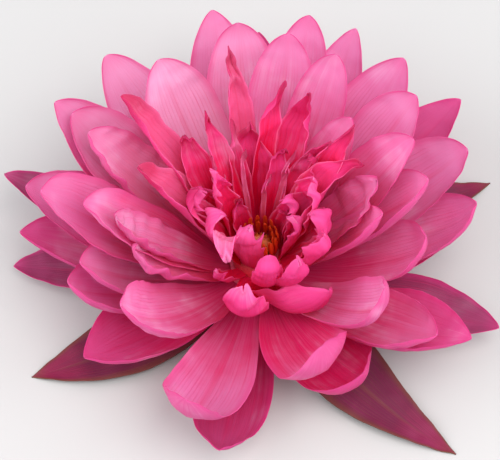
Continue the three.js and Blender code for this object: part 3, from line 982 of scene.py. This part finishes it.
    def whorls(self) -> list[Whorl]:
        """The four layers, from the outside in."""
        lower = replace(
            self.finish, name="guard petal tissue", body=(0.84, 0.13, 0.40), tip=(0.84, 0.17, 0.46)
        )
        inner = replace(
            self.finish,
            name="upper petal tissue",
            base=(0.92, 0.012, 0.17),
            body=(0.92, 0.22, 0.53),
            flush_from=0.12,
            flush_to=0.78,
        )
        common = {"node": self.node, "slot": self.slot}
        return [
            Whorl(Layer.GUARD, self.guard, self.guard_form, lower, seed=21, **common),
            Whorl(Layer.OUTER, self.outer, self.outer_form, self.finish, seed=22, **common),
            Whorl(Layer.MIDDLE, self.middle, self.middle_form, self.finish, seed=23, **common),
            Whorl(Layer.UPPER, self.upper, self.upper_form, inner, seed=24, **common),
        ]


TALL = {"roll": 20, "flush": -0.2, "pale": 0.3}  # what the tall upright petals at the back share


@dataclass
class RosePetals(Layered):
    """The deep rose petals round the middle: upright behind, curled in at the front."""

    node: str = "rose_petals"
    slot: str = "rose_petal"
    upright: tuple[Row, ...] = (
        (148, 55, 48, 13, {"yaw": -50, "hook": 90, "hook_at": 0.8, "taper": 0.4, "wilt": 1.5}),
        (127, 61, 50, 10, {"yaw": -16, "roll": 20, "wilt": 1.0}),
        (100, 57, 40, 18, {"cup": 40}),
        (111, 60, 42, 8, {"roll": 20}),
        (92, 57, 55, 9, {"yaw": -42, "roll": 60, "wilt": -1.0}),
        (66, 50, 54, 15, {"bend": 10, "roll": -30, "hook": 40}),
        (72, 66, 38, 9, {"roll": 40, "hook": 60}),
        (46, 60, 41, 12, {"hook": 110, "crumple": 1.8}),
        (55, 59, 44, 8, {"yaw": -40, "roll": 40}),
        (32, 57, 52, 12, {"yaw": 20, "roll": 20}),
        (26, 62, 46, 14, {"hook": -110, "hook_at": 0.6, "taper": 0.4}),
        (16, 67, 33, 13, {"hook": 20, "taper": 0.3}),
        (35, 74, 20, 9, {"hook": 80}),
        (137, 74, 20, 9, {"hook": 60}),
        (
            147, 49, 66, 15,
            {**TALL, "roll": 30, "crumple": 0.5, "ragged": 1, "flush": -0.3, "wilt": 1.0, "pinch": 0},
        ),
        (101, 50, 63, 11, {**TALL, "wilt": 0.8}),
        (168, 52, 50, 17, {**TALL, "crumple": 0.6, "ragged": 2, "wilt": 0, "pinch": 0.1}),
        (176, 62, 40, 11, {"hook": 90}),
        # these narrow pale blades stand for the lit edges of narrow petals seen edge-on; their paleness is
        # painted highlight
        (108, 66, 34, 2.0, {"pale": 0.4}),
        (82, 76, 28, 2.0, {"pale": 0.4}),
        (62, 66, 36, 2.2, {"pale": 0.3}),
        (138, 64, 36, 2.2, {"pale": 0.3}),
    )
    upright_form: Form = shared(
        bend=5.0, cup=70.0, widest=0.5, claw=0.4, shoulder=3.0, taper=0.55, hood=10.0,
        crumple=1.2, ragged=2.5, wilt=-1.8, pinch=0.4, seat=INNER_SEAT,
    )
    curled: tuple[Row, ...] = (
        # the paler curled petals carry painted highlight on their knobs
        (213, 73, 38, 9, {"bend": 0, "yaw": 75, "hook": -130, "hook_at": 0.6, "cup": 40, "pale": 0.5}),
        (245, 79, 30, 13, {"hook": 110, "pale": 0.3}),
        (330, 56, 37, 16, {"bend": 50, "hook": 30}),
        (350, 58, 38, 17, {"hook": 150, "hook_at": 0.65, "cup": 50}),
        (350, 72, 28, 10, {"hook": 130}),
        (191, 66, 34, 14, {"hook": 150, "hook_at": 0.65, "cup": 50}),
        (166, 60, 38, 15, {"hook": 140}),
        (151, 72, 38, 11, {"hook": 40}),
        (22, 76, 30, 11, {"hook": 130}),
        (16, 68, 38, 15, {"hook": 40, "cup": 50}),
        (228, 45, 22, 7, {"bend": 60, "hook": 60}),
    )
    curled_form: Form = shared(
        bend=25.0, cup=85.0, widest=0.6, claw=0.5, shoulder=3.0, taper=0.5,
        crumple=1.8, ragged=2.5, seat=INNER_SEAT,
    )
    rolled: tuple[Row, ...] = (
        (260, 44, 44, 17, {"bend": 110, "hood": 10, "ragged": 2}),
        (280, 27, 37, 22, {"yaw": 125, "bend": 50, "roll": -110, "crumple": 0.4}),
        (278, 62, 38, 12, {"bend": 55, "hook": 50}),
        (299, 58, 42, 12, {"bend": 60, "hook": 40, "ragged": 4}),
        (292, 40, 24, 13, {"bend": 90, "hood": 10}),
    )
    rolled_form: Form = shared(
        bend=25.0, cup=60.0, widest=0.6, claw=0.5, shoulder=2.6, taper=0.5, crumple=1.2, seat=ROLLED_SEAT
    )
    finish: PetalFinish = PetalFinish(
        "rose petal tissue",
        base=(0.93, 0.002, 0.065),
        body=(0.95, 0.045, 0.31),
        tip=(0.92, 0.14, 0.46),
        # the pale margin is partly painted highlight along the edges
        margin=(0.93, 0.30, 0.60),
        back=(0.86, 0.085, 0.36),
        flush_from=0.2,
        flush_to=0.88,
        margin_from=0.8,
        back_share=0.75,
        veins=5.0,
        vein_share=0.18,
        sheen=0.0,
        gloss=0.12,
        # the pale patches on the rose petals are partly painted highlight on their knobs and lips
        pale=(0.97, 0.42, 0.70),
        pale_share=0.7,
    )
    collar: Collar = Collar(
        "inner_collar", ((6.3, 13.7), (8.6, 13.7), (8.65, 15.0), (6.9, 17.9), (4.15, 17.95)), wobble=0.01
    )
    collar_finish: GrainFinish = GrainFinish("inner collar tissue", (0.45, 0.01, 0.03), (0.62, 0.03, 0.06))

    def whorls(self) -> list[Whorl]:
        """The three layers, from the back to the front."""
        skin = Skin(rows=60, half_columns=11, edge=0.3, ripple=0.8, groove=0.3)
        common = {"node": self.node, "slot": self.slot, "skin": skin}
        withered = replace(
            self.finish,
            name="withered rose petal tissue",
            body=(0.92, 0.085, 0.36),
            tip=(0.76, 0.012, 0.15),
            margin_share=0.5,
            flush_from=0.28,
            flush_to=0.9,
            scorch=0.6,
        )
        return [
            Whorl(Layer.ROSE, self.upright, self.upright_form, withered, seed=31, **common),
            Whorl(Layer.CURLED, self.curled, self.curled_form, self.finish, seed=32, **common),
            Whorl(Layer.ROLLED, self.rolled, self.rolled_form, self.finish, seed=33, **common),
        ]


@dataclass(frozen=True)
class Ring:
    """One ring of stamens."""

    count: int
    radius: float
    length: float  # the longest that one of them is
    lean: float
    turn: float  # the azimuth of the first


@dataclass
class Stamens:
    """Two rings of flat stamens that bend in over the disc, and their collar."""

    width: float = 1.5
    thickness: float = 0.9
    bend: float = 34.0
    root: float = 19.3
    rings: tuple[Ring, ...] = (Ring(15, 4.9, 11.5, 84.0, 0.0), Ring(13, 4.5, 10.0, 88.0, 11.0))
    finish: AntherFinish = AntherFinish(
        "stamen tissue", foot=(0.60, 0.006, 0.01), thread=(0.74, 0.022, 0.008), anther=(0.80, 0.075, 0.01)
    )
    collar: Collar = Collar(
        "stamen_collar", ((4.0, 18.5), (5.4, 18.5), (5.45, 19.4), (5.2, 20.1), (3.85, 20.15)), wobble=0.012
    )
    seed: int = 41

    def build(self) -> list[bpy.types.Object]:
        """Builds the stamens and the collar that they grow from."""
        random = np.random.default_rng(self.seed)
        skin = Skin(26, 4, middle=self.thickness, edge=0.3, ripple=0.0, groove=0.0, waver=0.08)
        tissue = Tissue()
        for ring in self.rings:
            for k in range(ring.count):
                lean = ring.lean + random.uniform(-1.5, 1.5)
                length = ring.length * random.uniform(0.9, 1.0)
                stamen = Blade(
                    ring.turn + 360.0 * k / ring.count, lean, length, self.width, bend=self.bend,
                    cup=20.0, widest=0.7, claw=0.6, shoulder=4.0, seat=Seat(ring.radius, self.root),
                )
                tissue.blade(stamen, skin, random)
        material = self.finish.material()
        return [
            tissue.piece("stamen_rings", material, "stamens", "stamen"),
            self.collar.build(material, "stamens", "stamen"),
        ]


@dataclass
class StigmaDisc:
    """The hollowed disc with a ring of small horns and a knob; its rays are not built."""

    radius: float = 3.8
    foot: float = 20.75
    thickness: float = 1.3
    knob_radius: float = 1.1
    knob_rise: float = 0.6
    horns: int = 14
    horn_length: float = 2.2
    finish: GrainFinish = GrainFinish(
        "stigma tissue", (0.46, 0.04, 0.01), (0.62, 0.13, 0.02), scale=500.0, roughness=0.5
    )
    seed: int = 51

    def build(self) -> list[bpy.types.Object]:
        """Builds the disc with its horns as one piece."""
        top = self.foot + self.thickness
        hollow = self.foot + 0.6 * self.thickness
        tissue = Tissue()
        outline = (
            (0.01, self.foot),
            (self.radius - 0.6, self.foot),
            (self.radius - 0.05, hollow),
            (self.radius - 0.1, top - 0.2),
            (self.radius - 0.5, top),
            (self.radius - 0.9, top - 0.15),
            (self.knob_radius + 0.8, hollow + 0.12),
            (self.knob_radius, hollow),
            (self.knob_radius * 0.95, hollow + 0.4),
            (self.knob_radius * 0.8, top + 0.5 * self.knob_rise),
            (self.knob_radius * 0.4, top + 0.9 * self.knob_rise),
            (0.01, top + self.knob_rise),
        )
        tissue.turned(outline, sides=84, wobble=0.02)
        random = np.random.default_rng(self.seed)
        skin = Skin(rows=14, half_columns=3, middle=0.75, edge=0.3, ripple=0.0, groove=0.0)
        for k in range(self.horns):
            horn = Blade(
                azimuth=360.0 * k / self.horns, lean=78.0, length=self.horn_length, width=0.9, bend=24.0,
                cup=10.0, widest=0.3, claw=0.9, shoulder=1.6, seat=Seat(self.radius - 0.75, top - 0.75),
            )
            tissue.blade(horn, skin, random)
        return [tissue.piece("stigma_disc_rayed", self.finish.material(), "stigma_disc", "stigma")]


@dataclass
class Receptacle:
    """The flower's seat and the end of its cut stem."""

    outline: Outline = (
        (0.01, 0.0), (4.6, 0.0), (4.95, 0.12), (5.05, 0.6), (5.3, 1.3), (7.2, 1.85), (9.15, 2.5),
        (9.38, 3.4), (9.38, 5.4), (8.3, 8.0), (6.0, 13.2), (3.6, 18.2), (3.3, 20.3), (0.01, 20.38),
    )
    finish: GrainFinish = GrainFinish("stem tissue", (0.16, 0.20, 0.05), (0.34, 0.26, 0.10), scale=220.0)

    def build(self) -> list[bpy.types.Object]:
        """Builds the seat as one piece."""
        tissue = Tissue()
        tissue.turned(self.outline, sides=120)
        return [tissue.piece("flower_seat", self.finish.material(), "receptacle", "receptacle")]


# ---- Studio ----------------------------------------------------------------------------------------

LIT_POINT = Vector((0.0, 0.0, 0.03))  # what the lights face, in metres


@dataclass(frozen=True)
class Lamp:
    """A soft square light that faces the flower."""

    name: str
    place: tuple[float, float, float]  # in metres
    size: float  # the side of its square, in metres
    power: float  # in watts
    colour: Colour

    def build(self) -> None:
        """Hangs the light."""
        light = bpy.data.lights.new(self.name, "AREA")
        light.shape = "SQUARE"
        light.size = self.size
        light.energy = self.power
        light.color = self.colour
        lamp = bpy.data.objects.new(self.name, light)
        lamp.location = self.place
        lamp.rotation_euler = (LIT_POINT - Vector(self.place)).to_track_quat("-Z", "Y").to_euler()
        bpy.context.scene.collection.objects.link(lamp)


@dataclass
class Studio:
    """The floor, the lights and the camera."""

    lamps: tuple[Lamp, ...] = (
        Lamp("key", (0.25, -0.20, 0.95), 0.6, 5.6, (1.0, 0.985, 0.96)),
        Lamp("left fill", (-0.75, -0.20, 0.50), 0.9, 7.5, (0.97, 0.98, 1.0)),
        Lamp("right fill", (0.75, -0.25, 0.45), 0.9, 5.5, (0.97, 0.98, 1.0)),
    )
    sky: Colour = (0.92, 0.95, 1.0)
    sky_strength: float = 0.98
    floor_colour: Colour = (0.47, 0.46, 0.45)
    floor_side: float = 6.0  # in metres
    aim: tuple[float, float, float] = (-0.0029, 0.0134, 0.00775)  # what the camera looks at, in metres
    elevation: float = 60.0  # how far above the level the camera stands, in degrees
    distance: float = 0.7  # how far it is from what it looks at, in metres
    lens: float = 156.2  # its focal length in millimetres, on a sensor 36 mm wide

    def build(self) -> None:
        """Builds the floor, the lights, the sky and the camera."""
        self._floor()
        for lamp in self.lamps:
            lamp.build()
        self._sky()
        bpy.context.scene.view_settings.view_transform = "Standard"
        self._camera()

    def _sky(self) -> None:
        """The even light from all round."""
        world = bpy.data.worlds.new("studio")
        world.use_nodes = True
        world.node_tree.nodes["Background"].inputs["Color"].default_value = (*self.sky, 1.0)
        world.node_tree.nodes["Background"].inputs["Strength"].default_value = self.sky_strength
        bpy.context.scene.world = world

    def _floor(self) -> None:
        """The plain pale floor."""
        half = self.floor_side / 2
        mesh = bpy.data.meshes.new("floor")
        corners = [(-half, -half, 0.0), (half, -half, 0.0), (half, half, 0.0), (-half, half, 0.0)]
        mesh.from_pydata(corners, [], [(0, 1, 2, 3)])
        mesh.materials.append(StudioFinish("studio floor", self.floor_colour).material())
        floor = bpy.data.objects.new("floor", mesh)
        bpy.context.scene.collection.objects.link(floor)

    def _camera(self) -> None:
        """The camera, which looks along +Y and down on the flower."""
        rise = np.radians(self.elevation)
        back = Vector((0.0, -float(np.cos(rise)), float(np.sin(rise))))
        lens = bpy.data.cameras.new("camera")
        lens.lens = self.lens
        lens.sensor_width = 36.0
        camera = bpy.data.objects.new("camera", lens)
        camera.location = Vector(self.aim) + back * self.distance
        camera.rotation_euler = (-back).to_track_quat("-Z", "Y").to_euler()
        bpy.context.scene.collection.objects.link(camera)
        bpy.context.scene.camera = camera


def main() -> None:
    """Builds the flower's pieces in order, from the floor up, and then the studio."""
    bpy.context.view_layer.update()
    for part in (Receptacle(), Sepals(), PinkPetals(), RosePetals(), Stamens(), StigmaDisc()):
        for piece in part.build():
            log.info("built %s", piece.name)
    Studio().build()


if __name__ == "__main__":
    logging.basicConfig(level=logging.INFO, format="%(message)s")
    main()
